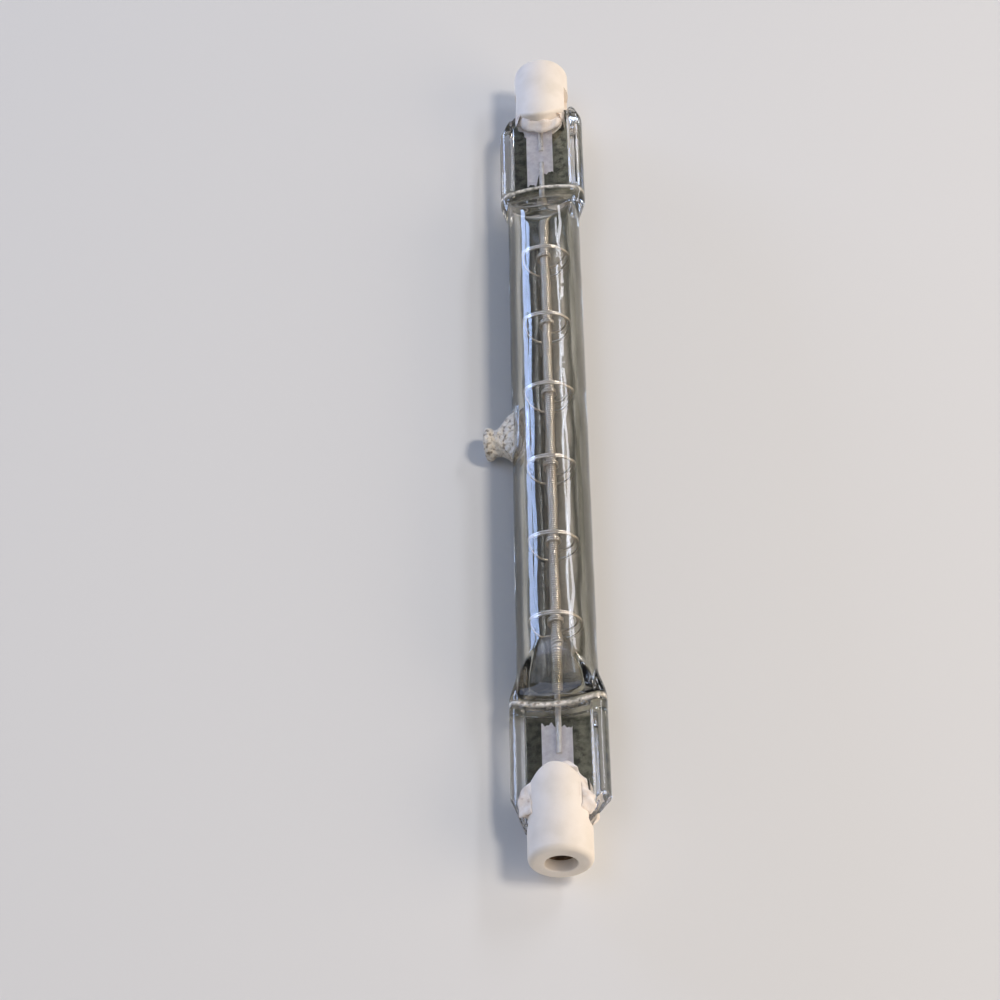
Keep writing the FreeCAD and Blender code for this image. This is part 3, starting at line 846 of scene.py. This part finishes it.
def cement(end, material):
    """Smeared lumps, from the plain form of the cement, worked in the frame's own axes in millimetres."""
    piece = bpy.data.objects.new("cement_lump_" + end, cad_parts["cement_" + end].data.copy())
    bpy.context.scene.collection.objects.link(piece)
    remesh = piece.modifiers.new("remesh", "REMESH")
    remesh.mode = "VOXEL"
    remesh.voxel_size = CEMENT_VOXEL * MM
    smooth = piece.modifiers.new("smooth", "SMOOTH")
    smooth.iterations = CEMENT_ROUNDS[0]
    apply_modifiers(piece)
    count = len(piece.data.vertices)
    places = np.zeros(count * 3)
    normals = np.zeros(count * 3)
    piece.data.vertices.foreach_get("co", places)
    piece.data.vertices.foreach_get("normal", normals)
    places, normals = places.reshape(-1, 3) / MM, normals.reshape(-1, 3)
    lump = (np.sin(1.3 * places[:, 0] + 1.9 * places[:, 1]) * np.sin(1.7 * places[:, 2] + 1.3)
            + 0.5 * np.sin(3.3 * places[:, 0] - 2.1 * places[:, 2] + 2.0 * places[:, 1]))
    lump += 0.8 * np.sin(2.9 * places[:, 1] + 0.6) * np.sin(2.3 * places[:, 0] + 1.1 * places[:, 2])
    places = places + normals * (CEMENT_SWELL[end] + CEMENT_LUMP * lump)[:, None]
    # Under the lips the cement follows their bow
    reach = np.abs(places[:, 0]) - CAP_INNER
    across = np.abs(places[:, 1])
    bow = LIP_BOW * np.minimum(across / CAP_RADIUS, 1) ** 2 * fade(reach, *CEMENT_BOW_ALONG)
    places[:, 0] += np.sign(places[:, 0]) * bow * fade(across, *CEMENT_BOW_ACROSS)
    # Beside the cap it stands proud for a while
    lasting = np.where(places[:, 1] < 0, CEMENT_REACH[-1], CEMENT_REACH[1])
    kept = CEMENT_PROUD[end] * ease(reach / CEMENT_SLOPE) * fade(reach, lasting, CEMENT_SLOPE)
    radius = np.hypot(places[:, 1], places[:, 2])
    lowered = np.where(radius > CEMENT_LOW, CEMENT_LOW + kept * (radius - CEMENT_LOW), radius) / radius
    places = places * np.stack([np.ones(count), lowered, lowered], axis=-1) * MM
    piece.data.vertices.foreach_set("co", places.ravel())
    smooth = piece.modifiers.new("smooth", "SMOOTH")
    smooth.iterations = CEMENT_ROUNDS[1]
    apply_modifiers(piece)
    finish_piece(piece, material, ["cement_" + end], 80)


# Floor, light and camera

def area_light(name, place, size, power, color):
    """Panel with its first side along the lamp, facing its axis squarely or, from beyond its middle towards
    +X, facing its middle."""
    data = bpy.data.lights.new(name, "AREA")
    data.shape = "RECTANGLE"
    data.size, data.size_y = size
    data.energy = power
    data.color = color
    light = bpy.data.objects.new(name, data)
    light.location = place
    facing = Vector((min(0.0, -place[0]), -place[1], -place[2]))
    light.rotation_euler = facing.to_track_quat("-Z", "Y").to_euler()
    light.visible_camera = False
    bpy.context.scene.collection.objects.link(light)


def studio():
    low = cad_box[0][2]
    mesh = bpy.data.meshes.new("floor")
    corners = [(FLOOR_HALF * x, FLOOR_HALF * y, low) for x, y in ((-1, -1), (1, -1), (1, 1), (-1, 1))]
    mesh.from_pydata(corners, [], [(0, 1, 2, 3)])
    floor = bpy.data.objects.new("floor", mesh)
    bpy.context.scene.collection.objects.link(floor)
    shader = Shader("pale_floor")
    shader.set(Base_Color=(0.7, 0.71, 0.72, 1), Roughness=0.8)
    mesh.materials.append(shader.material)

    world = bpy.data.worlds.new("studio")
    world.use_nodes = True
    world.node_tree.nodes["Background"].inputs["Color"].default_value = (0.92, 0.96, 1.0, 1)
    world.node_tree.nodes["Background"].inputs["Strength"].default_value = 0.22
    bpy.context.scene.world = world

    # Of these, the window and the two strips stand where the tube mirrors them to the camera
    area_light("left_window", (-0.4, -0.456, 0.066), (0.42, 0.12), 2.0, (0.46, 0.61, 1.0))
    area_light("left_fill", (0.1, -0.3, 0.5), (0.4, 0.2), 0.6, (0.62, 0.72, 1.0))
    area_light("right_strip", (-0.36, 0.34, 0.42), (0.236, 0.08), 0.58, (0.88, 0.9, 1.0))
    area_light("right_strip_end", (-0.556, 0.34, 0.42), (0.122, 0.08), 0.3, (0.88, 0.9, 1.0))
    area_light("right_panel", (0.15, 0.5, 0.2), (0.6, 0.3), 1.4, (1.0, 0.8, 0.6))
    area_light("warm_fill", (0.25, 0.45, 0.65), (0.6, 0.6), 0.9, (1.0, 0.82, 0.64))
    area_light("overhead", (0.03, 0.25, 0.58), (0.12, 0.12), 1.5, (1.0, 0.9, 0.78))


def camera():
    forward = (CAMERA_AIM - CAMERA_PLACE).normalized()
    right = forward.cross(CAMERA_UP).normalized()
    axes = Matrix((right, right.cross(forward), -forward)).transposed().to_4x4()
    data = bpy.data.cameras.new("camera")
    data.sensor_width = CAMERA_SENSOR
    data.lens = CAMERA_LENS
    data.clip_start = CAMERA_CLIP
    made = bpy.data.objects.new("camera", data)
    made.matrix_world = AS_LAID @ Matrix.Translation(CAMERA_PLACE * MM) @ axes
    bpy.context.scene.collection.objects.link(made)
    bpy.context.scene.camera = made


scene = bpy.context.scene
scene.view_settings.view_transform = "Standard"
# Light passes many walls of glass
scene.cycles.max_bounces = 20
scene.cycles.transmission_bounces = 16
scene.cycles.glossy_bounces = 12
scene.cycles.sample_clamp_indirect = 40
camera()
studio()

tungsten = drawn_metal("tungsten", (0.95, 0.86, 0.78), (1.0, 0.94, 0.87), 0.36)
molybdenum = drawn_metal("molybdenum", (0.7, 0.65, 0.61), (0.95, 0.91, 0.86), 0.3)
quartz_envelope(quartz_glass())
filament_coil(tungsten)
support_wires(tungsten)
dress_nodes(molybdenum, [n + "_" + e for n in ("inner_lead", "outer_lead") for e in ("near", "far")])
foil, ceramic, recess_shade = foil_metal(), steatite(), recess_shade_steatite()
paste, button = cement_paste(), contact_metal()
for end in ("near", "far"):
    seal_foil(end, foil)
    ceramic_cap(end, ceramic, recess_shade)
    contact(end, button)
    cement(end, paste)
